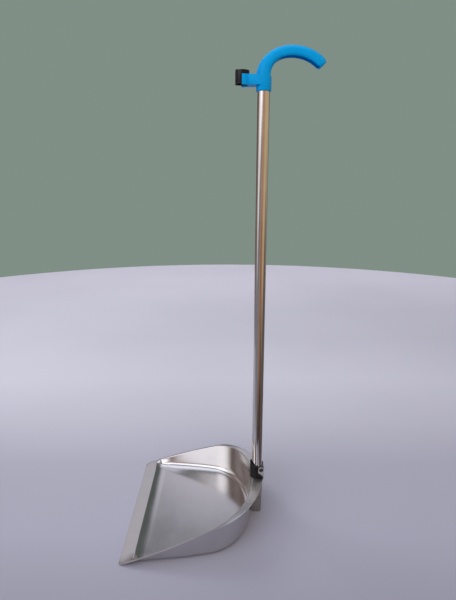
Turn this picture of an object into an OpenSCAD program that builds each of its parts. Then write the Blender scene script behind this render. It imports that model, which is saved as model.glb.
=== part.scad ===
// Long-handled dustpan: a pressed steel pan on a folding upright handle, with a hooked
// grip and a clip for the broom stick. Millimetres, Z up, the pan's mouth towards -Y.
// The origin is on the floor, halfway between the lip and the tip of the hook.

/* [Pan] */
// Distance from the front edge of the lip to the handle's axis
lip_reach = 274.4; // [255:0.2:295]
// Half width of the rim at the lip
rim_half = 157.5; // [145:0.5:170]
// Outward slope of the sides at the lip
side_flare = 0.04; // [0:0.01:0.06]
// How fast the sides draw in towards the rear
side_pinch = 0.00078; // [0.0006:0.00002:0.0009]
// Distance from the inner edge of the rear rim to the handle's axis
rim_gap = 10; // [9.5:0.1:11]
// Height of the rear rim above the floor
rim_h = 85; // [82:0.5:86]
// Rise of the rim for each millimetre from the lip
rim_rise = 0.36; // [0.34:0.01:0.38]
// Sheet thickness
sheet_t = 1; // [0.8:0.1:1.2]
// Inner radius between the floor and the walls
floor_fillet = 14; // [8:1:18]
// Width of the turned-out rim along the sides
side_flange = 3.8; // [3:0.1:5]
// Width of the turned-out rim at the rear
rear_flange = 24; // [22:0.5:26]

/* [Lip] */
// Length of the ramp from the front edge to its crest
ramp_l = 28.4; // [20:0.2:36]
// Height of the crest of the ramp
ramp_h = 7; // [4:0.5:9]
// Length of the fall from the crest to the floor
fall_l = 26; // [15:1:34]

/* [Handle tube] */
// Outer diameter of the tube
tube_d = 22; // [21.6:0.1:22.4]
// Wall of the tube
tube_wall = 0.8; // [0.6:0.1:1]
// Height of the tube's lower end above the floor
tube_bottom = 113; // [113:0.5:115]
// Height of the tube's upper end above the floor
tube_top = 890; // [880:1:892]

/* [Grip] */
// Height of the grip's lower edge above the floor
socket_bottom = 866; // [860:1:868]
// Outer diameter of the socket
socket_d = 26.8; // [26.2:0.1:27.4]
// Distance from the handle's axis to the tip of the hook
hook_reach = 102.5; // [92:0.5:108]
// Height of the middle of the grip above the floor
hook_mid = 930.5; // [928:0.5:934]
// Height of the grip's section
grip_h = 19.4; // [17:0.2:21]
// Width of the grip's section
grip_w = 23; // [21:0.5:25]
// Wall of the grip
grip_wall = 2.6; // [2:0.1:3]

/* [Broom clip] */
// Distance from the handle's axis to the broom stick's axis
clip_reach = 39; // [38:0.5:42]
// Diameter that the clip grips
clip_d = 21.6; // [21:0.1:22]
// Height of the clip
clip_h = 21.5; // [19:0.5:24]
// Lower edge of the clip above the floor
clip_bottom = 878; // [876.5:0.5:879]
// Height of the arm that holds the clip
arm_h = 17; // [15:0.5:17]

/* [Pivot] */
// Distance from the handle's axis back to the pivot
pivot_y = 9; // [8.8:0.1:9.2]
// Height of the pivot above the floor
pivot_z = 105.5; // [105:0.1:106]
// Diameter of the pivot bolt
bolt_d = 5; // [4.8:0.1:5.2]
// Radial clearance of the knuckle on its sleeve
running_gap = 0.05; // [0.03:0.01:0.08]

/* [Hidden] */
$fn = 96;
eps = 0.01;

// The handle's axis stands here, so that the whole part is centred on the origin.
tip_end = 5.5;
axis_y = (lip_reach - hook_reach - tip_end) / 2;

// Pan outline
lip_y = -lip_reach;
side_l = 182.4;
corner_w = 6.5;
corner_l = 14;
arc_pull = 36;
arc_wide = 84;
front_lean = 8;
rear_lean = 2;
fold_r = 1.8;
flange_fall = 0.05;
rim_bend_y = -100;
turn_from = 60;
turn_l = 90;
arc_steps = 6;
fold_steps = 3;
rear_steps = 18;

// Cutting shapes of the joint start at this level, and reach this far past the parts.
low = 60;
far = 40;

// Pivot parts
tube_r = tube_d / 2;
slope = atan(flange_fall);
yoke_t = 1.5;
ear_in = 11.8;
ear_r = 6.5;
saddle_in = tube_r + 0.35;
saddle_r = 14.6;
saddle_half = 15.2;
saddle_back = 13.2;
saddle_floor = 2.6;
bracket_t = 1.5;
bracket_front = -8.7;
bracket_half = 13.5;
web_bottom = 14;
tab_gap = 0.2;
tab_front = 0.1;
tab_l = 20;
leg_back = 9.5;
leg_back_top = 12;
leg_corner = 3;
slot_y = 0;
slot_z = 36;
slot_l = 7;
slot_h = 2;
yoke_front = 8.5;
yoke_l = 13.5;
saddle_tip = 119;
cheek_top = 113.5;
cheek_back = 2.3;
cheek_bottom = 97;
tail_h = 5.5;
screw_x = 6.5;
screw_back = 14;
screw_r = 2;
screw_end = -8;
screw_gap = 0.2;
head_r = 4;
head_h = 2.1;
head_z = yoke_t + 0.05 + saddle_floor - 0.2;
nut_top = -sheet_t - tab_gap - bracket_t - 0.05;
bolt_head_r = 4.6;
bolt_head_h = 2.6;
bolt_end = 20;
sleeve_r = bolt_d / 2 + 1;
spacer_r = 6.6;
lug_half = 7;
lug_r = 17.3;
lug_bottom = 91;
disc_bottom = 106;
plug_l = 26;
rivet_z = 128;
rivet_r = 2;

// Grip parts
bend_z = 893;
bend_step = 0.15;
rise_pull = 22;
top_pull_in = 30;
top_pull_out = 22;
tip_pull = [-12.5, 13.5];
tip_drop = 23;
hook_top_y = 48;
hook_steps = 34;
hollow_from = 0.62;
hollow_to = 1.96;
hollow_steps = 22;
grip_screw_z = 879;
arm_half = 12.6;
arm_bottom = 875.5;
cup_r = 12.5;
cup_wall = 2.5;
clip_wall = 2.6;
mouth_half = 46;
lip_r = 2.2;

function mix(a, b, t) = a + (b - a) * t;
function clamp01(t) = max(0, min(1, t));
function smooth(t) = let (c = clamp01(t)) c * c * (3 - 2 * c);
function bezier(p, t) = pow(1 - t, 3) * p[0] + 3 * pow(1 - t, 2) * t * p[1]
    + 3 * (1 - t) * t * t * p[2] + pow(t, 3) * p[3];

// Everything is drawn around the handle's axis and then moved to its place.
module on_axis() {
    translate([0, axis_y, 0]) children();
}

// ---------------------------------------------------------------- pan

// Half width of the rim at a distance u behind the lip, with its front corner rounded off
function corner_cut(u) = u >= corner_l ? 0
    : corner_w * (1 - sqrt(1 - pow((corner_l - u) / corner_l, 2)));
function side_x(u) = rim_half + side_flare * u - side_pinch * u * u - corner_cut(u);

// The rim's rear arc, from the end of the straight side to the middle of the rear
arc_slope = side_flare - 2 * side_pinch * side_l;
arc_start = [side_x(side_l), lip_y + side_l];
rear_arc = [arc_start,
            arc_start + arc_pull * [arc_slope, 1],
            [arc_wide, -rim_gap],
            [0, -rim_gap]];

// Height of the upper face of the floor and of the rim
function floor_z(y) = let (u = y - lip_y)
    u < ramp_l ? ramp_h * u / ramp_l : ramp_h * pow(1 - clamp01((u - ramp_l) / fall_l), 2);
rim_end_rise = rim_rise * (lip_reach - rim_gap);
rim_curve = (rim_end_rise - (rim_h - sheet_t)) / pow(-rim_gap - rim_bend_y, 2);
function rim_z(y) = rim_rise * (y - lip_y) - rim_curve * pow(max(0, y - rim_bend_y), 2);

// Stations: the rim's point, the outward direction in plan, and how far round it lies
side_u = concat([for (a = [0 : 22.5 : 90]) corner_l * (1 - cos(a))],
                [21, ramp_l - 1.5, ramp_l, ramp_l + 1.5, ramp_l + 4],
                [for (k = [2 : 5]) ramp_l + fall_l * k / 5],
                [for (u = [70 : 16 : 176]) u]);
function turned(y, n) =
    let (k = clamp01((y - lip_y - turn_from) / turn_l), d = mix([1, 0], n, k)) d / norm(d);
side_stations = [for (u = side_u)
    let (t = [side_flare - 2 * side_pinch * u, 1])
    [[side_x(u), lip_y + u], turned(lip_y + u, [t[1], -t[0]] / norm(t)), 0]];
rear_stations = [for (k = [0 : rear_steps])
    let (t = k / rear_steps,
         d = bezier(rear_arc, min(1, t + 0.002)) - bezier(rear_arc, max(0, t - 0.002)))
    [bezier(rear_arc, t), k == rear_steps ? [0, 1] : [d[1], -d[0]] / norm(d), t]];
stations = concat(side_stations, rear_stations);

// Section at a station as [distance outward, height]: floor edge, fillet, wall, fold, flange.
// Where the wall is low, near the lip, the section relaxes into a plain slope.
function section(s) =
    let (y = s[0][1],
         round_part = s[2],
         zf = floor_z(y) + sheet_t,
         h = rim_z(y) + sheet_t - zf,
         lean = mix(front_lean, rear_lean, smooth((y - lip_y) / (lip_reach - rim_gap))),
         r = min(floor_fillet, 0.6 * h),
         a = atan2(lean, max(h, 0.5)),
         run = r * tan((90 - a) / 2),
         reach = front_lean + floor_fillet,
         w = mix(side_flange, rear_flange, pow(round_part, 0.95)),
         k = smooth((h - 2) / 10),
         n = arc_steps + fold_steps + 3,
         curved = concat(
             [for (i = [0 : arc_steps]) let (q = (90 - a) * i / arc_steps)
                 [-lean - run + r * sin(q), zf + r * (1 - cos(q))]],
             [for (i = [0 : fold_steps]) let (q = 90 * i / fold_steps)
                 [fold_r * (1 - cos(q)), zf + h - fold_r * (1 - sin(q))]],
             [[w, zf + h - flange_fall * (w - fold_r)]]),
         plain = [for (i = [0 : n - 1]) let (d = mix(-reach, w, i / (n - 1)))
             [d, zf + h * clamp01((d + reach) / reach)]])
    [for (i = [0 : n - 1]) mix(plain[i], curved[i], k)];

// The same section, one sheet thickness down and out
function section_back(p) = [for (i = [0 : len(p) - 1])
    let (t = p[min(i + 1, len(p) - 1)] - p[max(i - 1, 0)])
    p[i] + sheet_t * [t[1], -t[0]] / norm(t)];

function placed(s, p, side) = [for (q = p)
    [side * (s[0][0] + q[0] * s[1][0]), s[0][1] + q[0] * s[1][1], q[1]]];

module pan_sheet() {
    n = len(stations) - 1;
    count = 2 * n + 1;
    pts = arc_steps + fold_steps + 3;
    fronts = [for (s = stations) section(s)];
    backs = [for (p = fronts) section_back(p)];
    cols = [for (c = [0 : count - 1]) c <= n ? [c, 1] : [2 * n - c, -1]];
    top = [for (c = cols) each placed(stations[c[0]], fronts[c[0]], c[1])];
    under = [for (c = cols) each placed(stations[c[0]], backs[c[0]], c[1])];
    base = count * pts;
    last = count - 1;
    skin = [for (c = [0 : last - 1], j = [0 : pts - 2])
        let (a = c * pts + j, b = a + 1, d = a + pts, e = d + 1) each [[a, d, e], [a, e, b]]];
    middle = [for (i = [0 : n - 2]) let (a = i * pts, b = (last - i) * pts)
        each [[a, b, b - pts], [a, b - pts, a + pts]]];
    tail = [(n - 1) * pts, (n + 1) * pts, n * pts];
    shell = concat(skin, middle, [tail]);
    edge = [for (c = [0 : last - 1]) let (a = c * pts + pts - 1, d = a + pts)
        each [[a, d, base + d], [a, base + d, base + a]]];
    front = concat([for (j = [0 : pts - 2]) each [[j, j + 1, base + j + 1], [j, base + j + 1, base + j]]],
                   [[last * pts, 0, base], [last * pts, base, base + last * pts]],
                   [for (j = [0 : pts - 2]) let (a = last * pts + j)
                       each [[a + 1, a, base + a], [a + 1, base + a, base + a + 1]]]);
    faces = concat(shell,
                   [for (f = shell) [for (i = [len(f) - 1 : -1 : 0]) base + f[i]]],
                   edge,
                   front);
    polyhedron(points = concat(top, under), faces = faces, convexity = 6);
}

module pan() {
    color("#c9c9cc") on_axis() difference() {
        pan_sheet();
        at_screws() cylinder(r = screw_r + screw_gap, h = far, center = true);
    }
}

// ---------------------------------------------------------------- joint

// The flange's upper face at the middle of the rear: its height, and a frame lying on it
function flange_z(y) = rim_h - flange_fall * (y + rim_gap - fold_r);

module on_flange() {
    translate([0, -rim_gap + fold_r, rim_h]) rotate([-slope, 0, 0]) children();
}

module at_screws() {
    for (side = [-1, 1])
        on_flange() translate([side * screw_x, screw_back, 0]) children();
}

// A plate whose outline is drawn in Y and Z, between two distances along X
module plate(x0, x1) {
    translate([x0, 0, 0]) rotate([90, 0, 90]) linear_extrude(x1 - x0) children();
}

module both_sides() {
    children();
    mirror([1, 0, 0]) children();
}

module along_pivot(x0, x1, r) {
    translate([x0, pivot_y, pivot_z]) rotate([0, 90, 0]) cylinder(r = r, h = x1 - x0);
}

// Side of the bracket, ending inside the thickness of the tab under the rim
function cheek_z(y) = flange_z(y) - sheet_t - tab_gap - bracket_t / 2;

module cheek_outline() {
    difference() {
        polygon(concat(
            [[bracket_front, 0]],
            [for (a = [-90 : 15 : 0])
                [leg_back - leg_corner * (1 - cos(a)), leg_corner * (1 + sin(a))]],
            [[leg_back_top, cheek_z(leg_back_top)], [bracket_front, cheek_z(bracket_front)]]));
        translate([slot_y, slot_z]) square([slot_l, slot_h]);
    }
}

module leg_bracket() {
    color("#a39d98") on_axis() difference() {
        union() {
            both_sides() plate(bracket_half - bracket_t, bracket_half) cheek_outline();
            translate([-bracket_half, bracket_front, web_bottom])
                cube([2 * bracket_half, bracket_t, cheek_z(bracket_front) - web_bottom]);
            on_flange() translate([-bracket_half, tab_front, -sheet_t - tab_gap - bracket_t])
                cube([2 * bracket_half, tab_l, bracket_t]);
        }
        at_screws() cylinder(r = screw_r + screw_gap, h = far, center = true);
    }
}

// Two ears that rise from a plate lying on the rim
module pivot_yoke() {
    color("#d4d4d8") on_axis() difference() {
        union() {
            both_sides() plate(ear_in, ear_in + yoke_t) {
                translate([pivot_y, pivot_z]) circle(r = ear_r);
                translate([pivot_y - ear_r, low]) square([2 * ear_r, pivot_z - low]);
            }
            on_flange() translate([-ear_in - yoke_t / 2, yoke_front, -1])
                cube([2 * ear_in + yoke_t, yoke_l, yoke_t + 1]);
        }
        on_flange() translate([-far / 2, -far / 2, -far]) cube([far, 2 * far, far]);
        at_screws() cylinder(r = screw_r + screw_gap, h = far, center = true);
        along_pivot(-far / 2, far / 2, bolt_d / 2 + running_gap);
    }
}

// Outline of the saddle from the side: a high pointed front, level cheeks, a low tail
module saddle_outline() {
    polygon([[-far / 2, low], [-far / 2, saddle_tip], [-saddle_r + 1.5, saddle_tip],
             [-5.3, cheek_top], [cheek_back, cheek_top], [cheek_back, cheek_bottom],
             [saddle_back, flange_z(saddle_back) + tail_h], [saddle_back, low]]);
}

module saddle() {
    color("#17171a") on_axis() difference() {
        intersection() {
            translate([0, 0, low]) linear_extrude(2 * far) union() {
                circle(r = saddle_r);
                translate([-saddle_half, 0]) square([2 * saddle_half, saddle_back]);
            }
            plate(-far / 2, far / 2) saddle_outline();
            on_flange() translate([-far / 2, -far / 2, 0]) cube([far, far, 2 * far]);
        }
        // room for the knuckle, open to the rear and to the top
        intersection() {
            translate([0, 0, low]) linear_extrude(2 * far) union() {
                circle(r = saddle_in);
                translate([-saddle_in, 0]) square([2 * saddle_in, far]);
            }
            on_flange() translate([-far / 2, -far / 2, yoke_t + 0.05 + saddle_floor])
                cube([far, 2 * far, 2 * far]);
        }
        // slots for the ears, open towards the room, and a pocket for the plate between them
        both_sides() translate([saddle_in - 0.1, cheek_back + 0.1, low])
            cube([ear_in + yoke_t + 0.1 - saddle_in + 0.1, far, 2 * far]);
        on_flange() translate([-ear_in - yoke_t / 2 - 0.1, yoke_front - 0.1, -1])
            cube([2 * ear_in + yoke_t + 0.2, far, yoke_t + 1.05]);
        at_screws() {
            cylinder(r = screw_r + 0.1, h = far, center = true);
            translate([0, 0, head_z - head_h]) cylinder(r1 = screw_r + 0.1, r2 = head_r + 0.1, h = head_h);
            translate([0, 0, head_z - eps]) cylinder(r = head_r + 0.1, h = 5);
        }
    }
}

module saddle_screws() {
    color("#b9b9bd") on_axis() at_screws() difference() {
        union() {
            translate([0, 0, screw_end]) cylinder(r = screw_r, h = head_z - screw_end);
            translate([0, 0, head_z - head_h]) cylinder(r1 = screw_r, r2 = head_r, h = head_h);
        }
        translate([0, 0, head_z - 1.4]) cylinder(r = 1.45, h = 3, $fn = 6);
    }
}

module saddle_nuts() {
    color("#b9b9bd") on_axis() at_screws() difference() {
        union() {
            translate([0, 0, nut_top - 3.2]) cylinder(r = 4.04, h = 3.2, $fn = 6);
            translate([0, 0, nut_top - 4.6]) cylinder(r = 3.1, h = 1.5);
        }
        cylinder(r = screw_r + 0.03, h = far, center = true);
    }
}

// A round cap, flat below and domed above
module dome(r, h) {
    ball = (r * r + h * h) / (2 * h);
    rotate_extrude() intersection() {
        translate([0, h - ball]) circle(r = ball);
        square([r, h]);
    }
}

module pivot_bolt() {
    seat = ear_in + yoke_t;
    color("#3a3a3e") on_axis() difference() {
        union() {
            along_pivot(-bolt_end, seat + 0.5, bolt_d / 2);
            translate([seat + 0.02, pivot_y, pivot_z]) rotate([0, 90, 0]) dome(bolt_head_r, bolt_head_h);
        }
        translate([seat + bolt_head_h - 1.5, pivot_y, pivot_z]) rotate([0, 90, 0])
            cylinder(r = 1.75, h = 3, $fn = 6);
    }
}

module pivot_sleeve() {
    color("#b9b9bd") on_axis() difference() {
        along_pivot(-ear_in + 0.03, ear_in - 0.03, sleeve_r);
        along_pivot(-far / 2, far / 2, bolt_d / 2 + 0.05);
    }
}

module pivot_spacers() {
    color("#2a2a2d") on_axis() both_sides() difference() {
        along_pivot(lug_half + 0.1, ear_in - 0.05, spacer_r);
        along_pivot(0, far / 2, sleeve_r + 0.05);
    }
}

module pivot_washer() {
    color("#b9b9bd") on_axis() difference() {
        along_pivot(-ear_in - yoke_t - 1.02, -ear_in - yoke_t - 0.02, bolt_head_r + 0.3);
        along_pivot(-far / 2, 0, bolt_d / 2 + 0.15);
    }
}

// A domed cap nut
module pivot_nut() {
    seat = ear_in + yoke_t + 1.04;
    color("#c4c4c8") on_axis() difference() {
        union() {
            translate([-seat, pivot_y, pivot_z]) rotate([0, -90, 0]) cylinder(r = 4.62, h = 4, $fn = 6);
            translate([-seat - 4 + eps, pivot_y, pivot_z]) rotate([0, -90, 0]) dome(3.9, 3.6);
        }
        along_pivot(-bolt_end - 0.1, 0, bolt_d / 2 + 0.03);
    }
}

module knuckle() {
    color("#3b3b40") on_axis() difference() {
        union() {
            translate([0, 0, tube_bottom - eps])
                cylinder(r = tube_r - tube_wall - 0.1, h = plug_l);
            translate([0, 0, disc_bottom]) cylinder(r = tube_r, h = tube_bottom - disc_bottom);
            plate(-lug_half, lug_half) union() {
                intersection() {
                    translate([pivot_y, pivot_z]) circle(r = lug_r);
                    translate([-9.5, lug_bottom]) square([pivot_y + 9.5, disc_bottom - lug_bottom + 1]);
                }
                translate([0, lug_bottom]) square([pivot_y + ear_r, pivot_z - lug_bottom]);
                translate([pivot_y, pivot_z]) circle(r = ear_r);
            }
        }
        both_sides() along_pivot(lug_half + eps, far / 2, spacer_r + 0.4);
        along_pivot(-far / 2, far / 2, sleeve_r + running_gap);
        translate([-20, 0, rivet_z]) rotate([0, 90, 0]) cylinder(r = rivet_r + 0.03, h = 16);
    }
}

module knuckle_rivet() {
    color("#c4c4c8") on_axis() translate([0, 0, rivet_z]) rotate([0, -90, 0]) {
        translate([0, 0, 4.5]) cylinder(r = rivet_r, h = tube_r - 4.4);
        translate([0, 0, tube_r + 0.02]) cylinder(r1 = 3.4, r2 = 2.2, h = 1.1);
    }
}

module tube() {
    color("#bdb3a8") on_axis() difference() {
        translate([0, 0, tube_bottom]) cylinder(r = tube_r, h = tube_top - tube_bottom);
        translate([0, 0, tube_bottom - 1])
            cylinder(r = tube_r - tube_wall, h = tube_top - tube_bottom + 2);
        translate([-20, 0, rivet_z]) rotate([0, 90, 0]) cylinder(r = rivet_r + 0.03, h = 16);
        translate([-20, 0, grip_screw_z]) rotate([0, 90, 0]) cylinder(r = 1.55, h = 16);
    }
}

// ---------------------------------------------------------------- grip

// Middle line of the hook: up out of the socket, over to the rear and down to the tip
hook_foot = [0, bend_z - 1];
hook_top = [hook_top_y, hook_mid];
hook_tip = [hook_reach, hook_mid - tip_drop];
hook_rise = [hook_foot, hook_foot + [0, rise_pull], hook_top - [top_pull_in, 0], hook_top];
hook_fall = [hook_top, hook_top + [top_pull_out, 0], hook_tip + tip_pull, hook_tip];
function hook_line(s) = s <= 1 ? bezier(hook_rise, s) : bezier(hook_fall, s - 1);
function hook_way(s) = let (d = hook_line(min(2, s + 0.004)) - hook_line(max(0, s - 0.004)))
    d / norm(d);

function power(v, e) = sign(v) * pow(abs(v), e);

// A D-shaped ring about the middle line: round above, squarer below. The socket end is round,
// and the tip end tapers off.
function hook_ring(s, count) =
    let (k = smooth(s / 0.55),
         tip = s > 1.85 ? 1 - 0.22 * pow((s - 1.85) / 0.15, 2) : 1,
         hh = mix(socket_d / 2 - bend_step, grip_h / 2, k) * tip,
         hw = mix(socket_d / 2 - bend_step, grip_w / 2, k) * tip,
         c = hook_line(s), w = hook_way(s), up = [-w[1], w[0]])
    [for (i = [0 : count - 1])
        let (a = 360 * i / count,
             e = sin(a) >= 0 ? 1 : mix(1, 0.55, k),
             x = hw * power(cos(a), e), v = hh * power(sin(a), e))
        [x, c[0] + v * up[0], c[1] + v * up[1]]];

module swept(rings) {
    n = len(rings);
    m = len(rings[0]);
    polyhedron(
        points = [for (r = rings) each r],
        faces = concat([[for (j = [m - 1 : -1 : 0]) j]],
            [for (i = [0 : n - 2], j = [0 : m - 1]) let (a = i * m + j, b = i * m + (j + 1) % m)
                each [[a, b + m, a + m], [a, b, b + m]]],
            [[for (j = [0 : m - 1]) (n - 1) * m + j]]),
        convexity = 8);
}

// The hollow under the grip: a channel that opens downwards and stops short of the tip
function hollow_ring(s, count) =
    let (c = hook_line(s), w = hook_way(s), up = [-w[1], w[0]],
         depth = smooth((s - hollow_from) / 0.3),
         hw = grip_w / 2 - grip_wall,
         top = mix(-grip_h / 2 - 0.5, grip_h / 2 - grip_wall, depth))
    [for (i = [0 : count - 1])
        let (a = 180 * i / (count - 1),
             x = hw * power(cos(a), 0.8),
             v = i == 0 || i == count - 1 ? -grip_h : top - (top + grip_h) * (1 - power(sin(a), 0.35)))
        [x, c[0] + v * up[0], c[1] + v * up[1]]];

module hook_handle() {
    color("#0096dc") on_axis() difference() {
        union() {
            translate([0, 0, socket_bottom]) cylinder(d = socket_d, h = bend_z - socket_bottom);
            difference() {
                swept([for (k = [0 : hook_steps]) hook_ring(2 * k / hook_steps, 32)]);
                swept([for (k = [0 : hollow_steps])
                    hollow_ring(mix(hollow_from, hollow_to, k / hollow_steps), 13)]);
            }
            translate([-arm_half, -clip_reach + 9, arm_bottom]) cube([2 * arm_half, clip_reach - 9, arm_h]);
            translate([0, -clip_reach, arm_bottom]) rotate_extrude(angle = 180)
                translate([cup_r, 0]) square([cup_wall, arm_h]);
        }
        translate([0, -clip_reach, arm_bottom - 5]) cylinder(r = cup_r, h = arm_h + 10);
        translate([0, 0, socket_bottom - 1])
            cylinder(r = tube_r + 0.05, h = tube_top + 0.3 - socket_bottom + 1);
        both_sides() translate([arm_half - 1, -clip_reach + 9.8, arm_bottom - 1])
            cube([5, 2.4, arm_h + 2]);
        translate([-20, 0, grip_screw_z]) rotate([0, 90, 0]) {
            cylinder(r = 1.6, h = 16);
            cylinder(r = 3.1, h = 20 - socket_d / 2 + 1.2);
        }
    }
}

module handle_screw() {
    color("#b9b9bd") on_axis() translate([0, 0, grip_screw_z]) rotate([0, -90, 0]) {
        translate([0, 0, 7.5]) cylinder(r = 1.5, h = socket_d / 2 - 8.7);
        translate([0, 0, socket_d / 2 - 1.2]) cylinder(r1 = 2.9, r2 = 2, h = 1.1);
    }
}

module clip_insert() {
    inner = clip_d / 2;
    outer = inner + clip_wall;
    color("#121214") on_axis() translate([0, -clip_reach, clip_bottom]) difference() {
        union() {
            rotate([0, 0, -90 + mouth_half]) rotate_extrude(angle = 360 - 2 * mouth_half)
                translate([inner, 0]) square([clip_wall, clip_h]);
            for (side = [-1, 1])
                rotate([0, 0, -90 + side * mouth_half]) translate([inner + lip_r, 0, 0])
                    cylinder(r = lip_r, h = clip_h);
        }
        translate([0, 0, arm_bottom - clip_bottom - 0.1]) rotate_extrude(angle = 180)
            translate([cup_r - 0.05, 0]) square([5, arm_h + 0.2]);
    }
}

pan();
leg_bracket();
pivot_yoke();
saddle();
saddle_screws();
saddle_nuts();
pivot_bolt();
pivot_sleeve();
pivot_spacers();
pivot_washer();
pivot_nut();
knuckle();
knuckle_rivet();
tube();
hook_handle();
handle_screw();
clip_insert();
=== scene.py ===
"""Looks of a long-handled dustpan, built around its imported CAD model.

Shapes are drawn in millimetres around the handle's axis, with the floor at z = 0, and then moved
into the shared frame, which is in metres. Their numbers repeat those of the CAD source.
"""

import math

import bmesh
import bpy
import numpy as np
from mathutils import Matrix, Vector


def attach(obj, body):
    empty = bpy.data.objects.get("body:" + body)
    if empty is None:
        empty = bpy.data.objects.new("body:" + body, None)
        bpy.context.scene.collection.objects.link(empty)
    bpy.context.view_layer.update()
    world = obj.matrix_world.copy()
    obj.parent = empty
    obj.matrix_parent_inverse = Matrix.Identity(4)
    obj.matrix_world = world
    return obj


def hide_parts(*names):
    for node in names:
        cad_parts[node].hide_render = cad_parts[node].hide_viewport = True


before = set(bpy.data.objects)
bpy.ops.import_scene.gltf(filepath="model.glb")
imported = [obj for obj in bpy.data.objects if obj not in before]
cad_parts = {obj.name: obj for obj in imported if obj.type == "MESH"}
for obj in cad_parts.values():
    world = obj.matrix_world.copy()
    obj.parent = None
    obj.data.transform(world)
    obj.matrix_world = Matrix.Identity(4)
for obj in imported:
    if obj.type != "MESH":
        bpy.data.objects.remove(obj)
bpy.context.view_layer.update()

# ------------------------------------------------------------------ dimensions, in millimetres
LIP_REACH = 274.4
HOOK_REACH = 102.5
TIP_END = 5.5
AXIS_Y = (LIP_REACH - HOOK_REACH - TIP_END) / 2
LIP_Y = -LIP_REACH

RIM_HALF = 157.5
SIDE_FLARE = 0.04
SIDE_PINCH = 0.00078
SIDE_L = 182.4
CORNER_W = 6.5
CORNER_L = 14
RIM_GAP = 10
RIM_H = 85
RIM_RISE = 0.36
RIM_BEND_Y = -100
SHEET_T = 1
FLOOR_FILLET = 14
SIDE_FLANGE = 3.8
REAR_FLANGE = 24
RAMP_L = 28.4
RAMP_H = 7
FALL_L = 26
ARC_PULL = 36
ARC_WIDE = 84
FRONT_LEAN = 8
REAR_LEAN = 2
FOLD_R = 1.8
FLANGE_FALL = 0.05
TURN_FROM = 60
TURN_L = 90
SLOPE = math.atan(FLANGE_FALL)

TUBE_R = 11
TUBE_WALL = 0.8
TUBE_Z = (113, 890)
PIVOT_Y = 9
PIVOT_Z = 105.5
EAR_IN = 11.8
EAR_R = 6.5
YOKE_T = 1.5
YOKE_FRONT = 8.5
YOKE_L = 13.5
BOLT_R = 2.5
RUNNING_GAP = 0.05
SCREW_X = 6.5
SCREW_BACK = 14
SCREW_R = 2
HEAD_H = 2.1
RIVET_R = 2
RIVET_Z = 128

SADDLE_R = 14.6
SADDLE_HALF = 15.2
SADDLE_BACK = 13.2
SADDLE_IN = TUBE_R + 0.35
SADDLE_FLOOR = 2.6
SADDLE_TIP = 119
CHEEK_TOP = 113.5
CHEEK_FRONT = -5.3
CHEEK_BACK = 2.3
CHEEK_BOTTOM = 97
TAIL_H = 5.5
EAR_SLOT_IN = 11.25

# Cutting solids only have to reach past the piece that they cut
CUT = (-20, 20)
LOW, HIGH = 60, 150

BEND_Z = 893
SOCKET_Z = 866
SOCKET_R = 13.4
HOOK_MID = 930.5
HOOK_TOP_Y = 48
GRIP_H = 19.4
GRIP_W = 23
GRIP_WALL = 2.6
TIP_DROP = 23
CLIP_REACH = 39
CUP_IN = 12.5
CUP_OUT = 15
ARM_Z = (875.5, 892.5)
CLIP_Z = (878, 899.5)


# ------------------------------------------------------------------ mesh helpers
def new_object(name, verts, faces):
    mesh = bpy.data.meshes.new(name)
    mesh.from_pydata([tuple(map(float, v)) for v in verts], [], [tuple(f) for f in faces])
    mesh.validate()
    bm = bmesh.new()
    bm.from_mesh(mesh)
    bmesh.ops.recalc_face_normals(bm, faces=bm.faces)
    bm.to_mesh(mesh)
    bm.free()
    obj = bpy.data.objects.new(name, mesh)
    bpy.context.scene.collection.objects.link(obj)
    return obj


def bake_modifiers(obj):
    """Replace the mesh by what its modifiers make of it."""
    bpy.context.view_layer.update()
    graph = bpy.context.evaluated_depsgraph_get()
    mesh = bpy.data.meshes.new_from_object(obj.evaluated_get(graph))
    obj.modifiers.clear()
    obj.data = mesh
    return obj


def bevelled(obj, width, segments=2, angle=35):
    m = obj.modifiers.new("edge", "BEVEL")
    m.width = width
    m.segments = segments
    m.limit_method = "ANGLE"
    m.angle_limit = math.radians(angle)
    m.harden_normals = False
    return bake_modifiers(obj)


def combine(obj, other, operation):
    """Union, difference or intersection of two closed meshes. The second is used up."""
    m = obj.modifiers.new("solid", "BOOLEAN")
    m.operation = operation
    m.solver = "EXACT"
    m.object = other
    bake_modifiers(obj)
    bpy.data.objects.remove(other)
    return obj


def prism(name, outline, lo, hi, along="z"):
    """A closed outline pushed along Z (outline in X, Y) or along X (outline in Y, Z)."""
    n = len(outline)
    put = (lambda p, t: (p[0], p[1], t)) if along == "z" else (lambda p, t: (t, p[0], p[1]))
    verts = [put(p, lo) for p in outline] + [put(p, hi) for p in outline]
    faces = [range(n - 1, -1, -1), range(n, 2 * n)]
    faces += [(i, (i + 1) % n, n + (i + 1) % n, n + i) for i in range(n)]
    return new_object(name, verts, faces)


def block(x, y, z):
    return prism("block", [(x[0], y[0]), (x[1], y[0]), (x[1], y[1]), (x[0], y[1])], *z)


def arc(cx, cy, r, start, end, steps):
    """Points on a circle, from one angle to another, in degrees, both ends included."""
    angles = np.radians(np.linspace(start, end, steps + 1))
    return [(cx + r * math.cos(a), cy + r * math.sin(a)) for a in angles]


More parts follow.
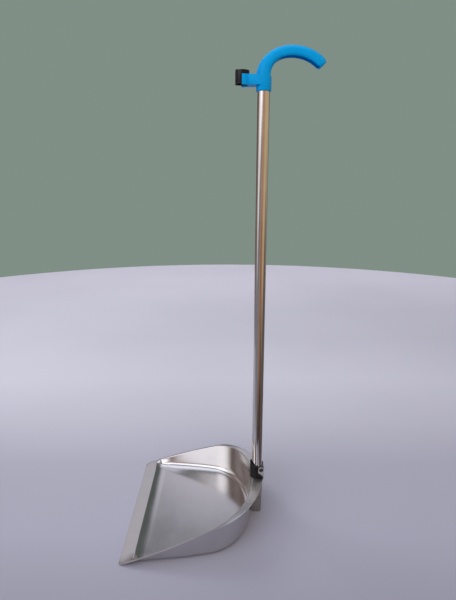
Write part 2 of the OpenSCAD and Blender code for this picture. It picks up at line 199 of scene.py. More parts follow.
def lathe(name, profile, segments=128):
    """A closed loop of (radius, z) turned about Z. A point at radius 0 becomes a pole."""
    verts, rows, faces = [], [], []
    for r, z in profile:
        if r < 1e-6:
            rows.append([len(verts)])
            verts.append((0, 0, z))
        else:
            rows.append(list(range(len(verts), len(verts) + segments)))
            verts += [(r * math.cos(2 * math.pi * i / segments),
                       r * math.sin(2 * math.pi * i / segments), z) for i in range(segments)]
    for a, b in zip(rows, rows[1:] + rows[:1]):
        for i in range(segments):
            j = (i + 1) % segments
            if len(a) == 1 and len(b) == 1:
                continue
            if len(a) == 1:
                faces.append((a[0], b[j], b[i]))
            elif len(b) == 1:
                faces.append((a[i], a[j], b[0]))
            else:
                faces.append((a[i], a[j], b[j], b[i]))
    return new_object(name, verts, faces)


def moved(obj, matrix):
    obj.data.transform(matrix)
    return obj


def on_flange(obj):
    """From a frame lying on the rear flange to the handle's axis frame."""
    return moved(obj, Matrix.Translation((0, -RIM_GAP + FOLD_R, RIM_H))
                 @ Matrix.Rotation(-SLOPE, 4, "X"))


def flange_z(y):
    return RIM_H - FLANGE_FALL * (y + RIM_GAP - FOLD_R)


def finished(obj, node, body, material, sharp=35, flat=False):
    """Move a piece into the shared frame and put it in place of its CAD node.

    A piece with flat faces shades them flat, so that only its rounded edges carry the light over.
    """
    obj.data.transform(Matrix.Translation((0, AXIS_Y * 0.001, 0)) @ Matrix.Scale(0.001, 4))
    obj.data.polygons.foreach_set("use_smooth", [True] * len(obj.data.polygons))
    obj.data.set_sharp_from_angle(angle=math.radians(sharp))
    if flat:
        m = obj.modifiers.new("flat", "WEIGHTED_NORMAL")
        m.keep_sharp = True
        bake_modifiers(obj)
    obj.data.materials.clear()
    obj.data.materials.append(material)
    obj.data.update()
    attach(obj, body)
    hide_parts(node)
    return obj


# ------------------------------------------------------------------ materials
def nodes_of(name):
    mat = bpy.data.materials.new(name)
    mat.use_nodes = True
    tree = mat.node_tree
    tree.nodes.clear()
    out = tree.nodes.new("ShaderNodeOutputMaterial")
    shader = tree.nodes.new("ShaderNodeBsdfPrincipled")
    tree.links.new(shader.outputs[0], out.inputs[0])
    return mat, tree, shader


def noise(tree, scale, detail=4.0, roughness=0.6, distortion=0.0):
    """Noise in object space, stretched by the three scales, in waves per metre."""
    coord = tree.nodes.new("ShaderNodeTexCoord")
    mapping = tree.nodes.new("ShaderNodeMapping")
    mapping.inputs["Scale"].default_value = scale
    tex = tree.nodes.new("ShaderNodeTexNoise")
    tex.inputs["Scale"].default_value = 1.0
    tex.inputs["Detail"].default_value = detail
    tex.inputs["Roughness"].default_value = roughness
    tex.inputs["Distortion"].default_value = distortion
    tree.links.new(coord.outputs["Object"], mapping.inputs["Vector"])
    tree.links.new(mapping.outputs[0], tex.inputs["Vector"])
    return tex.outputs["Fac"]


def ramp(tree, source, stops):
    node = tree.nodes.new("ShaderNodeValToRGB")
    elements = node.color_ramp.elements
    while len(elements) > 1:
        elements.remove(elements[-1])
    for i, (at, colour) in enumerate(stops):
        e = elements[0] if i == 0 else elements.new(at)
        e.position = at
        e.color = (*colour, 1)
    tree.links.new(source, node.inputs[0])
    return node.outputs[0]


def span(tree, source, low, high, from_low=0.3, from_high=0.7):
    node = tree.nodes.new("ShaderNodeMapRange")
    node.inputs["From Min"].default_value = from_low
    node.inputs["From Max"].default_value = from_high
    node.inputs["To Min"].default_value = low
    node.inputs["To Max"].default_value = high
    tree.links.new(source, node.inputs["Value"])
    return node.outputs["Result"]


def mixed(tree, kind, factor, a, b):
    node = tree.nodes.new("ShaderNodeMix")
    node.data_type = "RGBA"
    node.blend_type = kind
    node.inputs["Factor"].default_value = factor
    tree.links.new(a, node.inputs["A"])
    tree.links.new(b, node.inputs["B"])
    return node.outputs["Result"]


def added(tree, a, b):
    node = tree.nodes.new("ShaderNodeMath")
    node.operation = "ADD"
    tree.links.new(a, node.inputs[0])
    tree.links.new(b, node.inputs[1])
    return node.outputs[0]


def own_axis(tree, axis):
    """One coordinate of the object's own space, in metres."""
    coord = tree.nodes.new("ShaderNodeTexCoord")
    parts = tree.nodes.new("ShaderNodeSeparateXYZ")
    tree.links.new(coord.outputs["Object"], parts.inputs[0])
    return parts.outputs[axis]


def bump(tree, shader, heights):
    """Chained bumps: (height socket, strength, depth in metres)."""
    normal = None
    for source, strength, depth in heights:
        node = tree.nodes.new("ShaderNodeBump")
        node.inputs["Strength"].default_value = strength
        node.inputs["Distance"].default_value = depth
        tree.links.new(source, node.inputs["Height"])
        if normal is not None:
            tree.links.new(normal, node.inputs["Normal"])
        normal = node.outputs[0]
    tree.links.new(normal, shader.inputs["Normal"])


def steel(name, dark, light, rough, grain, grain_depth, wave_depth=0.0, rim=None):
    """Bare steel with grain lines, a cloudy tone and small darker spots.

    grain holds waves per metre along X, Y and Z: few along the grain, many across it.
    rim holds two heights, and what is added to the roughness from the first to the second.
    """
    mat, tree, shader = nodes_of(name)
    shader.inputs["Metallic"].default_value = 1.0
    lines = noise(tree, grain, 5, 0.65)
    clouds = noise(tree, (14, 14, 14), 5, 0.62, 0.4)
    marks = noise(tree, (90, 90, 90), 3, 0.7, 1.2)
    base = ramp(tree, clouds, [(0.3, dark), (0.7, light)])
    streaks = ramp(tree, lines, [(0.32, (0.94, 0.94, 0.94)), (0.68, (1.0, 1.0, 1.0))])
    spots = ramp(tree, marks, [(0.25, (0.95, 0.95, 0.95)), (0.38, (1.0, 1.0, 1.0))])
    colour = mixed(tree, "MULTIPLY", 1.0, mixed(tree, "MULTIPLY", 1.0, base, streaks), spots)
    tree.links.new(colour, shader.inputs["Base Color"])
    total = added(tree, span(tree, lines, -0.03, 0.03), span(tree, clouds, rough[0], rough[1]))
    if rim:
        low, high, rougher = rim
        total = added(tree, total, span(tree, own_axis(tree, "Z"), 0, rougher, low, high))
    tree.links.new(total, shader.inputs["Roughness"])
    heights = [(lines, 0.5, grain_depth)]
    if wave_depth:
        heights.append((noise(tree, (9, 9, 5), 2, 0.5), 1.0, wave_depth))
    bump(tree, shader, heights)
    return mat


SKIN_WAVES = 900


def moulded(name, dark, light, rough, specular=0.5, depth=0.00003):
    """Moulded plastic or rubber: faint colour drift, scuffs and a fine skin."""
    mat, tree, shader = nodes_of(name)
    shader.inputs["Specular IOR Level"].default_value = specular
    clouds = noise(tree, (35, 35, 35), 4, 0.6, 0.3)
    scuffs = noise(tree, (60, 260, 260), 4, 0.7, 1.5)
    skin = noise(tree, (SKIN_WAVES, SKIN_WAVES, SKIN_WAVES), 2, 0.5)
    base = ramp(tree, clouds, [(0.3, dark), (0.7, light)])
    worn = ramp(tree, scuffs, [(0.62, (1.0, 1.0, 1.0)), (0.78, (1.14, 1.14, 1.14))])
    tree.links.new(mixed(tree, "MULTIPLY", 1.0, base, worn), shader.inputs["Base Color"])
    tree.links.new(span(tree, scuffs, rough[0], rough[1]), shader.inputs["Roughness"])
    bump(tree, shader, [(skin, 0.4, depth), (clouds, 0.5, depth * 4)])
    return mat


PAN_STEEL = steel("pan_steel", (0.60, 0.59, 0.585), (0.66, 0.65, 0.645), (0.15, 0.21),
                  (18, 1500, 1500), grain_depth=0.000003, wave_depth=0.00003, rim=(0.079, 0.085, 0.2))
TUBE_STEEL = steel("tube_steel", (0.66, 0.63, 0.61), (0.76, 0.74, 0.72), (0.07, 0.15),
                   (1800, 1800, 9), grain_depth=0.000006, wave_depth=0.00009)
YOKE_STEEL = steel("yoke_steel", (0.68, 0.68, 0.69), (0.8, 0.8, 0.81), (0.12, 0.22),
                   (900, 900, 60), grain_depth=0.000008)
BRACKET_STEEL = steel("bracket_steel", (0.34, 0.315, 0.305), (0.46, 0.425, 0.415), (0.3, 0.44),
                      (1300, 1300, 30), grain_depth=0.00002)
FASTENER_STEEL = steel("fastener_steel", (0.55, 0.55, 0.56), (0.7, 0.7, 0.71), (0.2, 0.34),
                       (700, 700, 700), grain_depth=0.00001)
DARK_BOLT = steel("dark_bolt", (0.035, 0.035, 0.04), (0.07, 0.07, 0.075), (0.28, 0.42),
                  (700, 700, 700), grain_depth=0.00001)
CAST_KNUCKLE = steel("cast_knuckle", (0.32, 0.32, 0.33), (0.42, 0.42, 0.435), (0.34, 0.46),
                     (500, 500, 500), grain_depth=0.00005)
BLUE = moulded("blue_plastic", (0.0, 0.32, 0.72), (0.0, 0.35, 0.78), (0.30, 0.40),
               specular=0.1, depth=0.000003)
BLACK = moulded("black_plastic", (0.004, 0.004, 0.005), (0.010, 0.010, 0.012), (0.38, 0.55),
                specular=0.25, depth=0.00004)
SPACER = moulded("spacer_nylon", (0.02, 0.02, 0.022), (0.035, 0.035, 0.038), (0.45, 0.6))
RUBBER = moulded("black_rubber", (0.003, 0.003, 0.004), (0.008, 0.007, 0.009), (0.3, 0.42),
                 specular=0.3, depth=0.00003)


# ------------------------------------------------------------------ pan
def mix(a, b, t):
    return a + (b - a) * t


def clamp01(t):
    return max(0.0, min(1.0, t))


def smooth(t):
    c = clamp01(t)
    return c * c * (3 - 2 * c)


def bezier(p, t):
    p = np.asarray(p, float)
    return ((1 - t) ** 3 * p[0] + 3 * (1 - t) ** 2 * t * p[1]
            + 3 * (1 - t) * t * t * p[2] + t ** 3 * p[3])


def unit(v):
    return np.asarray(v, float) / np.linalg.norm(v)


def side_x(u):
    """Half the rim's width at a distance u behind the lip, with the lip's corner rounded."""
    cut = 0
    if u < CORNER_L:
        cut = CORNER_W * (1 - math.sqrt(max(0, 1 - ((CORNER_L - u) / CORNER_L) ** 2)))
    return RIM_HALF + SIDE_FLARE * u - SIDE_PINCH * u * u - cut


ARC_START = np.array([side_x(SIDE_L), LIP_Y + SIDE_L])
REAR_ARC = [ARC_START, ARC_START + ARC_PULL * np.array([SIDE_FLARE - 2 * SIDE_PINCH * SIDE_L, 1]),
            (ARC_WIDE, -RIM_GAP), (0, -RIM_GAP)]
RIM_CURVE = (RIM_RISE * (LIP_REACH - RIM_GAP) - (RIM_H - SHEET_T)) / (-RIM_GAP - RIM_BEND_Y) ** 2
CREST_R = 0.9
FLANGE_GROWTH = 0.95


def floor_exact(y):
    u = y - LIP_Y
    if u < RAMP_L:
        return RAMP_H * u / RAMP_L
    return RAMP_H * (1 - clamp01((u - RAMP_L) / FALL_L)) ** 2


def floor_z(y):
    """The floor's height, with the crest of the ramp slightly rounded."""
    if abs(y - LIP_Y - RAMP_L) > CREST_R:
        return floor_exact(y)
    t = (y - LIP_Y - RAMP_L + CREST_R) / (2 * CREST_R)
    a, b = LIP_Y + RAMP_L - CREST_R, LIP_Y + RAMP_L + CREST_R
    return (1 - t) ** 2 * floor_exact(a) + 2 * t * (1 - t) * RAMP_H + t * t * floor_exact(b)


def rim_z(y):
    return RIM_RISE * (y - LIP_Y) - RIM_CURVE * max(0.0, y - RIM_BEND_Y) ** 2


def turned(y, n):
    k = clamp01((y - LIP_Y - TURN_FROM) / TURN_L)
    return unit(mix(np.array([1.0, 0.0]), np.asarray(n), k))


def pan_stations():
    """Points of the rim on the +X side: place, outward direction, share of the rear arc."""
    u = list(CORNER_L * (1 - np.cos(np.radians(np.linspace(0, 90, 13)))))
    u += [16, 19, 22, 25, RAMP_L - 2]
    u += [RAMP_L + CREST_R * k for k in (-1, -0.66, -0.33, 0, 0.33, 0.66, 1)]
    u += list(np.linspace(RAMP_L + 2, RAMP_L + FALL_L, 14)) + list(np.linspace(58, SIDE_L - 3, 34))
    rows = []
    for v in u:
        t = unit((SIDE_FLARE - 2 * SIDE_PINCH * v, 1))
        rows.append((np.array([side_x(v), LIP_Y + v]), turned(LIP_Y + v, (t[1], -t[0])), 0.0))
    for t in np.linspace(0, 1, 61):
        d = bezier(REAR_ARC, min(1, t + 0.002)) - bezier(REAR_ARC, max(0, t - 0.002))
        n = np.array([0.0, 1.0]) if t == 1 else unit((d[1], -d[0]))
        rows.append((bezier(REAR_ARC, t), n, t))
    return rows


# Places along the section: 0 to 6 fillet, 6 to 7 wall, 7 to 10 fold, 10 to 11 flange
SECTION_AT = list(np.linspace(0, 6, 15)) + [6.2, 6.4, 6.6, 6.8] + list(np.linspace(7, 10, 9)) \
    + [10.25, 10.5, 10.75, 10.9, 11]


def section(place, share):
    y = place[1]
    z = floor_z(y) + SHEET_T
    h = rim_z(y) + SHEET_T - z
    lean = mix(FRONT_LEAN, REAR_LEAN, smooth((y - LIP_Y) / (LIP_REACH - RIM_GAP)))
    r = min(FLOOR_FILLET, 0.6 * h)
    a = math.atan2(lean, max(h, 0.5))
    run = r * math.tan((math.pi / 2 - a) / 2)
    reach = FRONT_LEAN + FLOOR_FILLET
    w = mix(SIDE_FLANGE, REAR_FLANGE, share ** FLANGE_GROWTH)
    k = smooth((h - 2) / 10)

    def fillet(p):
        q = (math.pi / 2 - a) * p / 6
        return np.array([-lean - run + r * math.sin(q), z + r * (1 - math.cos(q))])

    def fold(p):
        q = math.pi / 2 * (p - 7) / 3
        return np.array([FOLD_R * (1 - math.cos(q)), z + h - FOLD_R * (1 - math.sin(q))])

    points = []
    for p in SECTION_AT:
        if p <= 6:
            curved = fillet(p)
        elif p < 7:
            curved = mix(fillet(6), fold(7), p - 6)
        elif p <= 10:
            curved = fold(p)
        else:
            end = np.array([w, z + h - FLANGE_FALL * (w - FOLD_R)])
            curved = mix(fold(10), end, p - 10)
        d = mix(-reach, w, p / 11)
        plain = np.array([d, z + h * clamp01((d + reach) / reach)])
        points.append(mix(plain, curved, k))
    return np.array(points)


def section_back(points):
    t = np.empty_like(points)
    t[1:-1] = points[2:] - points[:-2]
    t[0] = points[1] - points[0]
    t[-1] = points[-1] - points[-2]
    t /= np.linalg.norm(t, axis=1)[:, None]
    return points + SHEET_T * np.stack([t[:, 1], -t[:, 0]], axis=1)


def make_pan():
    rows = pan_stations()
    n = len(rows)
    pts = len(SECTION_AT)
    cols = [(i, 1) for i in range(n)] + [(i, -1) for i in range(n - 2, -1, -1)]
    count = len(cols)
    tops = [section(p, t) for p, _, t in rows]
    skins = [tops, [section_back(s) for s in tops]]
    verts = []
    for skin in skins:
        for i, side in cols:
            place, out, _ = rows[i]
            for q in skin[i]:
                verts.append((side * (place[0] + q[0] * out[0]), place[1] + q[0] * out[1], q[1]))
    base = count * pts
    faces = []
    for c in range(count - 1):
        for j in range(pts - 1):
            a = c * pts + j
            faces.append((a, a + pts, a + pts + 1, a + 1))
            faces.append((base + a, base + a + 1, base + a + pts + 1, base + a + pts))
        e = c * pts + pts - 1
        faces.append((e, e + pts, base + e + pts, base + e))
    # the floor, as strips across with points between, so that it shades evenly
    across = 24

    def floor_row(i, lower):
        a, b = lower * base + i * pts, lower * base + (count - 1 - i) * pts
        row = [a]
        for k in range(1, across):
            va, vb = np.array(verts[a]), np.array(verts[b])
            row.append(len(verts))
            verts.append(tuple(mix(va, vb, k / across)))
        return row + [b]

    for lower in (0, 1):
        grid = [floor_row(i, lower) for i in range(n - 1)]
        for ra, rb in zip(grid, grid[1:]):
            for k in range(across):
                faces.append((ra[k], ra[k + 1], rb[k + 1], rb[k]))
        tip = lower * base + (n - 1) * pts
        for k in range(across):
            faces.append((grid[-1][k], grid[-1][k + 1], tip))
        if lower == 0:
            front = grid[0]
        else:
            for k in range(across):
                faces.append((front[k], front[k + 1], grid[0][k + 1], grid[0][k]))
    for c in (0, count - 1):
        for j in range(pts - 1):
            a = c * pts + j
            faces.append((a, a + 1, base + a + 1, base + a))
    pan = new_object("pan_sheet", verts, faces)
    bevelled(pan, 0.3, 2, 60)
    return finished(pan, "pan", "pan_assembly", PAN_STEEL, 28)


# ------------------------------------------------------------------ joint
def screw_holes(r):
    out = None
    for side in (-1, 1):
        hole = lathe("hole", [(0, CUT[0]), (r, CUT[0]), (r, CUT[1]), (0, CUT[1])], 48)
        moved(hole, Matrix.Translation((side * SCREW_X, SCREW_BACK, 0)))
        out = hole if out is None else combine(out, hole, "UNION")
    return on_flange(out)


def make_saddle():
    outer = arc(0, 0, SADDLE_R, 180, 360, 64)
    outer += [(SADDLE_HALF, 0), (SADDLE_HALF, SADDLE_BACK), (-SADDLE_HALF, SADDLE_BACK), (-SADDLE_HALF, 0)]
    saddle = prism("saddle_moulding", outer, LOW, 140)
    side = [(CUT[0], LOW), (SADDLE_BACK, LOW), (SADDLE_BACK, flange_z(SADDLE_BACK) + TAIL_H),
            (CHEEK_BACK, CHEEK_BOTTOM), (CHEEK_BACK, CHEEK_TOP), (CHEEK_FRONT, CHEEK_TOP),
            (-SADDLE_R + 1.5, SADDLE_TIP), (CUT[0], SADDLE_TIP)]
    combine(saddle, prism("side", side, *CUT, "x"), "INTERSECT")
    combine(saddle, on_flange(block(CUT, (-20, 30), (0, 80))), "INTERSECT")
    plate_top = YOKE_T + 0.05
    inner = arc(0, 0, SADDLE_IN, 180, 360, 64) + [(SADDLE_IN, 40), (-SADDLE_IN, 40)]
    room = prism("room", inner, LOW, HIGH)
    combine(room, on_flange(block(CUT, (-30, 60), (plate_top + SADDLE_FLOOR, 90))), "INTERSECT")
    combine(saddle, room, "DIFFERENCE")
    for s in (-1, 1):
        xs = sorted((s * EAR_SLOT_IN, s * (EAR_IN + YOKE_T + 0.1)))
        combine(saddle, block(xs, (CHEEK_BACK + 0.1, 50), (LOW, HIGH)), "DIFFERENCE")
    plate_half = EAR_IN + YOKE_T / 2 + 0.1
    plate = block((-plate_half, plate_half), (YOKE_FRONT - 0.1, 60), (-1, plate_top))
    combine(saddle, on_flange(plate), "DIFFERENCE")
    r = SCREW_R + 0.1
    combine(saddle, screw_holes(r), "DIFFERENCE")
    cone_h = HEAD_H - 0.25
    for s in (-1, 1):
        sink = lathe("sink", [(0, -0.25), (r, -0.25), (r + 2, cone_h), (r + 2, 7), (0, 7)], 48)
        moved(sink, Matrix.Translation((s * SCREW_X, SCREW_BACK, plate_top + SADDLE_FLOOR - 0.2 - cone_h)))
        combine(saddle, on_flange(sink), "DIFFERENCE")
    bevelled(saddle, 0.35, 2, 40)
    return finished(saddle, "saddle", "pan_assembly", BLACK, flat=True)


def make_yoke():
    ear = arc(PIVOT_Y, PIVOT_Z, EAR_R, 0, 180, 40) + [(PIVOT_Y - EAR_R, 70), (PIVOT_Y + EAR_R, 70)]
    half = EAR_IN + YOKE_T / 2
    yoke = prism("yoke_strip", ear, EAR_IN, EAR_IN + YOKE_T, "x")
    combine(yoke, prism("ear", ear, -EAR_IN - YOKE_T, -EAR_IN, "x"), "UNION")
    plate = block((-half, half), (YOKE_FRONT, YOKE_FRONT + YOKE_L), (-1, YOKE_T))
    combine(yoke, on_flange(plate), "UNION")
    combine(yoke, on_flange(block(CUT, (-30, 60), (-60, 0))), "DIFFERENCE")
    combine(yoke, screw_holes(SCREW_R + 0.2), "DIFFERENCE")
    r = BOLT_R + RUNNING_GAP
    bore = lathe("bore", [(0, -30), (r, -30), (r, 30), (0, 30)], 48)
    moved(bore, Matrix.Translation((0, PIVOT_Y, PIVOT_Z)) @ Matrix.Rotation(math.pi / 2, 4, "Y"))
    combine(yoke, bore, "DIFFERENCE")
    bevelled(yoke, 0.25, 2, 40)
    return finished(yoke, "pivot_yoke", "pan_assembly", YOKE_STEEL, flat=True)


def copy_of(node, name, width, body, slot, material):
    """A CAD node's own mesh, flat faces joined up, edges rounded as far as the bevel's clamp allows."""
    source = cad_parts[node]
    bm = bmesh.new()
    bm.from_mesh(source.data)
    bmesh.ops.remove_doubles(bm, verts=bm.verts, dist=2e-6)
    bmesh.ops.dissolve_limit(bm, angle_limit=math.radians(1), verts=bm.verts, edges=bm.edges)
    mesh = bpy.data.meshes.new(name)
    bm.to_mesh(mesh)
    bm.free()
    obj = bpy.data.objects.new(name, mesh)
    bpy.context.scene.collection.objects.link(obj)
    bevelled(obj, width * 0.001, 2, 40)
    moved(obj, Matrix.Scale(1000, 4) @ Matrix.Translation((0, -AXIS_Y * 0.001, 0)))
    return finished(obj, node, body, material, flat=True)


# ------------------------------------------------------------------ handle
def make_tube():
    r, low, high = TUBE_R, *TUBE_Z
    inner = r - TUBE_WALL
    edge = 0.15
    profile = [(inner, low + edge), (inner + edge, low), (r - edge, low), (r, low + edge)]
    profile += [(r, z) for z in np.linspace(low, high, 14)[1:-1]]
    profile += [(r, high - edge), (r - edge, high), (inner + edge, high), (inner, high - edge)]
    tube = lathe("tube_polished", profile, 160)
    rivet_hole = RIVET_R + 0.03
    hole = lathe("hole", [(0, 0), (rivet_hole, 0), (rivet_hole, 16), (0, 16)], 32)
    moved(hole, Matrix.Translation((-20, 0, RIVET_Z)) @ Matrix.Rotation(math.pi / 2, 4, "Y"))
    combine(tube, hole, "DIFFERENCE")
    return finished(tube, "tube", "handle_assembly", TUBE_STEEL)


def make_hook():
    foot, top = np.array([0, BEND_Z]), np.array([HOOK_TOP_Y, HOOK_MID])
    tip = np.array([HOOK_REACH, HOOK_MID - TIP_DROP])
    rise = [foot - (0, 1), foot + (0, 21), top - (30, 0), top]
    fall = [top, top + (22, 0), tip + (-12.5, 13.5), tip]

    def line(s):
        return bezier(rise, s) if s <= 1 else bezier(fall, s - 1)

    def power(v, e):
        return math.copysign(abs(v) ** e, v)

    channel_half = GRIP_W / 2 - GRIP_WALL
    outer_steps, inner_steps = 72, 34

    def ring(s, hollow):
        """Outer skin from one lower edge over the top to the other, and back through the hollow."""
        k = smooth(s / 0.55)
        end = 1 - 0.22 * ((s - 1.85) / 0.15) ** 2 if s > 1.85 else 1
        hh = mix(SOCKET_R, GRIP_H / 2, k) * end
        hw = mix(SOCKET_R, GRIP_W / 2, k) * end
        e = mix(1, 0.55, k)
        half = min(channel_half, 0.93 * hw)
        alpha = math.degrees(math.acos(clamp01((half / hw) ** (1 / e))))

        def below(x):
            c = clamp01(abs(x) / hw) ** (1 / e)
            return -hh * max(0.0, 1 - c * c) ** (e / 2)

        section_points = []
        for a in np.radians(np.linspace(-alpha, 180 + alpha, outer_steps + 1)):
            f = 1 if math.sin(a) >= 0 else e
            section_points.append((hw * power(math.cos(a), f), hh * power(math.sin(a), f)))
        depth = smooth((s - 0.62) / 0.3)
        roof = mix(-GRIP_H / 2 - 0.5, GRIP_H / 2 - GRIP_WALL, depth)
        for a in np.linspace(180, 0, inner_steps + 1)[1:-1]:
            a = math.radians(a)
            x = half * power(math.cos(a), 0.8)
            v = roof - (roof + GRIP_H) * (1 - math.sin(a) ** 0.35)
            section_points.append((x, max(v, below(x)) if hollow else below(x)))
        c = line(s)
        way = unit(line(min(2, s + 0.004)) - line(max(0, s - 0.004)))
        up = np.array([-way[1], way[0]])
        return [(x, c[0] + v * up[0], c[1] + v * up[1]) for x, v in section_points]

    start = ring(0, False)
    rings = [[(x * k, y * k, z) for x, y, _ in start]
             for z, k in ((SOCKET_Z, 1 - 0.6 / SOCKET_R), (SOCKET_Z + 0.18, 1 - 0.18 / SOCKET_R),
                          (SOCKET_Z + 0.6, 1), (BEND_Z - 8, 1), (BEND_Z - 4, 1))]
    rings += [ring(s, True) for s in np.linspace(0, 1.9, 96)]
    rings += [ring(s, True) for s in (1.92, 1.94, 1.955, 1.96)]
    rings += [ring(s, False) for s in (1.9605, 1.97, 1.985)]
    # the tip is rounded over its last millimetres
    last = np.array(ring(2, False))
    middle = last.mean(axis=0)
    back = np.array(ring(1.99, False)).mean(axis=0) - middle
    for share, pull in ((1.0, 0.9), (0.97, 0.35), (0.9, 0.0)):
        rings.append([tuple(middle + (p - middle) * share + unit(back) * pull) for p in last])
    m = len(rings[0])
    verts = [v for r in rings for v in r]
    faces = [range(m - 1, -1, -1), range((len(rings) - 1) * m, len(rings) * m)]
    for i in range(len(rings) - 1):
        for j in range(m):
            a, b = i * m + j, i * m + (j + 1) % m
            faces.append((a, b, b + m, a + m))
    grip = new_object("grip", verts, faces)

    yc = -CLIP_REACH
    side = [(CUP_IN, yc), (CUP_OUT, yc)] + arc(0, yc, CUP_OUT, 0, 36.87, 16)[1:]
    side += [(12.6, yc + 9), (12.6, yc + 9.8), (11.6, yc + 9.8), (11.6, yc + 12.2), (12.6, yc + 12.2),
             (12.6, -1)]
    outline = side + [(-x, y) for x, y in reversed(side)] + arc(0, yc, CUP_IN, 180, 0, 48)[1:-1]
    arm = prism("arm", outline, *ARM_Z)
    bevelled(arm, 0.45, 2, 40)
    combine(grip, arm, "UNION")
    bore = lathe("bore", [(0, 860), (11.05, 860), (11.05, 890.3), (0, 890.3)], 128)
    combine(grip, bore, "DIFFERENCE")
    return finished(grip, "hook_handle", "handle_assembly", BLUE, 40)


def make_clip():
    inner, outer, bulb_r, half = 10.8, 13.4, 2.2, 46
    a, b = -90 + half, 270 - half
    outline = arc(0, 0, outer, a, b, 96) + arc(0, 0, inner, b, a, 96)
    clip = prism("broom_clip", outline, *CLIP_Z)
    for angle in (a, b):
        c = (inner + bulb_r) * np.array([math.cos(math.radians(angle)), math.sin(math.radians(angle))])
        combine(clip, prism("bulb", arc(*c, bulb_r, 0, 360, 32)[:-1], *CLIP_Z), "UNION")
    groove = arc(0, 0, 20, 0, 180, 96) + arc(0, 0, CUP_IN - 0.05, 180, 0, 96)
    combine(clip, prism("groove", groove, ARM_Z[0] - 0.1, ARM_Z[1] + 0.1), "DIFFERENCE")
    bevelled(clip, 1.1, 4, 40)
    moved(clip, Matrix.Translation((0, -CLIP_REACH, 0)))
    return finished(clip, "clip_insert", "handle_assembly", RUBBER)


make_pan()
make_saddle()
make_yoke()
make_tube()
make_hook()
make_clip()
PAN, HANDLE = "pan_assembly", "handle_assembly"
for row in (("leg_bracket", "bracket_strip", 0.3, PAN, "bracket_steel", BRACKET_STEEL),
            ("pivot_bolt", "bolt_dark", 0.15, PAN, "dark_bolt", DARK_BOLT),
            ("pivot_nut", "cap_nut", 0.15, PAN, "fastener_steel", FASTENER_STEEL),
            ("pivot_washer", "washer", 0.1, PAN, "fastener_steel", FASTENER_STEEL),
            ("pivot_spacers", "spacers", 0.15, PAN, "spacer_nylon", SPACER),
            ("saddle_screws", "screws", 0.1, PAN, "fastener_steel", FASTENER_STEEL),
            ("saddle_nuts", "lock_nuts", 0.15, PAN, "fastener_steel", FASTENER_STEEL),
            ("knuckle_rivet", "blind_rivet", 0.15, HANDLE, "fastener_steel", FASTENER_STEEL),
            ("handle_screw", "grip_screw", 0.15, HANDLE, "fastener_steel", FASTENER_STEEL)):
    copy_of(*row)
for node, material in (("pivot_sleeve", FASTENER_STEEL), ("knuckle", CAST_KNUCKLE)):
    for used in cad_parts[node].material_slots:
        used.material = material

# ------------------------------------------------------------------ stage
# The paper is one disc in two parts. Polished steel mirrors the rectangular sheet, given by two of
# its corners in metres, but not the ring around it.
FLOOR_R = 3.0
SHEET = ((-2.6, -0.9), (0.27, 0.22))


def paper_ring():
    """The disc outside the sheet: each outer point goes with the sheet's edge point inside it."""
    (x0, y0), (x1, y1) = SHEET
    cx, cy = (x0 + x1) / 2, (y0 + y1) / 2
    corners = [math.atan2(y - cy, x - cx) for x in (x0, x1) for y in (y0, y1)]
    angles = sorted(corners + list(np.radians(np.arange(-180, 180, 4))))
    inner = []
    for a in angles:
        reach = min((x1 - cx) / max(abs(math.cos(a)), 1e-9), (y1 - cy) / max(abs(math.sin(a)), 1e-9))
        inner.append((cx + reach * math.cos(a), cy + reach * math.sin(a), 0))
    outer = [(FLOOR_R * math.cos(a), FLOOR_R * math.sin(a), 0) for a in angles]
    n = len(angles)
    return new_object("floor_ring", inner + outer,
                      [(i, (i + 1) % n, n + (i + 1) % n, n + i) for i in range(n)])


(x0, y0), (x1, y1) = SHEET
floor_parts = [new_object("floor", [(x0, y0, 0), (x1, y0, 0), (x1, y1, 0), (x0, y1, 0)], [range(4)]),
               paper_ring()]
floor_parts[1].visible_glossy = False
mat, tree, shader = nodes_of("paper_with_painted_shade")
drift = noise(tree, (1.2, 1.2, 1.2), 3, 0.5)
paper = ramp(tree, drift, [(0.3, (0.69, 0.70, 0.80)), (0.7, (0.74, 0.75, 0.85))])
# Painted shade: the paper's colour is darkened by position along X, most towards +X on the camera's side,
# where it also turns slightly bluer.
painted_shade = ramp(tree, span(tree, own_axis(tree, "X"), 0, 1, -2.4, 0.3),
             [(0.0, (1.0, 1.0, 1.0)), (0.30, (0.82, 0.82, 0.82)), (0.48, (0.79, 0.79, 0.79)),
              (0.64, (0.83, 0.83, 0.83)), (0.75, (0.72, 0.72, 0.73)), (0.83, (0.58, 0.58, 0.61)),
              (0.92, (0.545, 0.545, 0.585)), (1.0, (0.43, 0.43, 0.465))])
tree.links.new(mixed(tree, "MULTIPLY", 1.0, paper, painted_shade), shader.inputs["Base Color"])
shader.inputs["Roughness"].default_value = 0.6
shader.inputs["Specular IOR Level"].default_value = 0.25
for part in floor_parts:
    part.data.materials.append(mat)
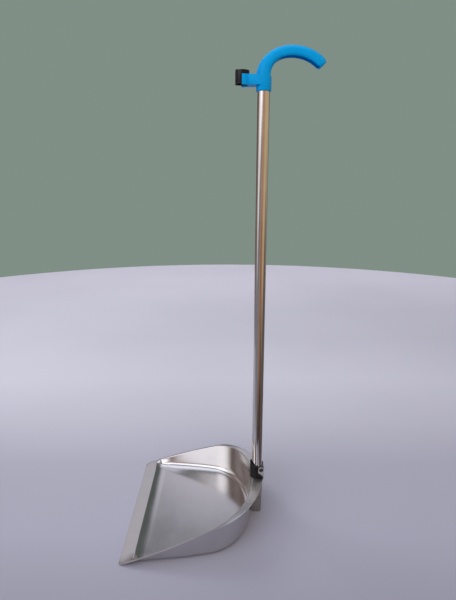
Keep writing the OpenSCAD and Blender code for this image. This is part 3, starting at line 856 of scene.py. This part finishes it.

# The room as soft patches of light: azimuth from +X towards +Y and elevation of the middle, the
# angles where a patch is full and where it has faded out, and its colour. Later ones lie on top.
# They are set for the view of the photo, for what each face of the steel mirrors there.
ROOM = (0.23, 0.23, 0.26)
PATCHES = (
    (65, 3, 32, 72, (0.60, 0.45, 0.27)),
    (90, -38, 24, 46, (0.12, 0.095, 0.10)),
    (20, -42, 22, 38, (0.06, 0.042, 0.038)),
    (150, 22, 14, 40, (0.12, 0.135, 0.13)),
    (-110, 22, 28, 46, (0.24, 0.175, 0.155)),
    (-108, 29, 3, 15, (0.50, 0.42, 0.42)),
    (-145, 8, 12, 30, (0.12, 0.09, 0.08)),
    (0, 90, 24, 35, (1.25, 1.28, 1.46)),
    (-180, 30, 4, 15, (0.84, 0.82, 0.94)),
    (-152, 31, 7, 18, (0.62, 0.60, 0.66)),
    (-20, 24, 11, 20, (1.90, 1.90, 2.10)),
    (-50, 27, 6, 31, (2.3, 2.25, 2.35)),
    (-70, 6, 8, 22, (1.0, 0.95, 0.95)),
    (5, 0, 12, 34, (0.50, 0.30, 0.19)),
    (5, -14, 5, 17, (0.34, 0.14, 0.065)),
)


def world_light():
    world = bpy.data.worlds.new("studio")
    bpy.context.scene.world = world
    world.use_nodes = True
    tree = world.node_tree
    tree.nodes.clear()
    coord = tree.nodes.new("ShaderNodeTexCoord")
    last = None
    for azimuth, elevation, full, gone, colour in PATCHES:
        a, e = math.radians(azimuth), math.radians(elevation)
        dot = tree.nodes.new("ShaderNodeVectorMath")
        dot.operation = "DOT_PRODUCT"
        dot.inputs[1].default_value = (math.cos(a) * math.cos(e), math.sin(a) * math.cos(e), math.sin(e))
        tree.links.new(coord.outputs["Generated"], dot.inputs[0])
        share = tree.nodes.new("ShaderNodeMapRange")
        share.interpolation_type = "SMOOTHSTEP"
        share.inputs["From Min"].default_value = math.cos(math.radians(gone))
        share.inputs["From Max"].default_value = math.cos(math.radians(full))
        tree.links.new(dot.outputs["Value"], share.inputs["Value"])
        blend = tree.nodes.new("ShaderNodeMix")
        blend.data_type = "RGBA"
        tree.links.new(share.outputs["Result"], blend.inputs["Factor"])
        if last is None:
            blend.inputs["A"].default_value = (*ROOM, 1)
        else:
            tree.links.new(last, blend.inputs["A"])
        blend.inputs["B"].default_value = (*colour, 1)
        last = blend.outputs["Result"]
    lit = tree.nodes.new("ShaderNodeBackground")
    tree.links.new(last, lit.inputs["Color"])
    plain = tree.nodes.new("ShaderNodeBackground")
    plain.inputs["Color"].default_value = (0.215, 0.275, 0.235, 1)
    path = tree.nodes.new("ShaderNodeLightPath")
    choose = tree.nodes.new("ShaderNodeMixShader")
    tree.links.new(path.outputs["Is Camera Ray"], choose.inputs[0])
    tree.links.new(lit.outputs[0], choose.inputs[1])
    tree.links.new(plain.outputs[0], choose.inputs[2])
    out = tree.nodes.new("ShaderNodeOutputWorld")
    tree.links.new(choose.outputs[0], out.inputs[0])


def area_light(name, place, target, size, power, colour):
    data = bpy.data.lights.new(name, "AREA")
    data.shape = "RECTANGLE"
    data.size, data.size_y = size
    data.energy = power
    data.color = colour
    lamp = bpy.data.objects.new(name, data)
    bpy.context.scene.collection.objects.link(lamp)
    lamp.location = place
    lamp.visible_glossy = False
    lamp.rotation_euler = (Vector(target) - Vector(place)).to_track_quat("-Z", "Y").to_euler()


world_light()
area_light("key", (-1.1, -1.3, 1.7), (-0.3, 0, 0.1), (0.8, 1.0), 13, (0.98, 0.99, 1.0))
area_light("front", (0.9, 0.35, 1.3), (0, 0.05, 0.9), (0.4, 0.4), 3.2, (1.0, 1.0, 1.0))
bpy.context.scene.view_settings.view_transform = "Standard"

# The photo's camera, given and not fitted. Its place is in the handle's axis frame, in metres.
EYE = (0.8646, -0.063, 0.7167)
LENS_MM = 27.06
PITCH = math.radians(15)
lens = bpy.data.cameras.new("camera")
lens.sensor_width = 36
lens.lens = LENS_MM
lens.clip_start = 0.01
camera = bpy.data.objects.new("camera", lens)
bpy.context.scene.collection.objects.link(camera)
bpy.context.scene.camera = camera
camera.location = (EYE[0], EYE[1] + AXIS_Y * 0.001, EYE[2])
look = Vector((-math.cos(PITCH), 0, -math.sin(PITCH)))
camera.rotation_euler = look.to_track_quat("-Z", "Y").to_euler()
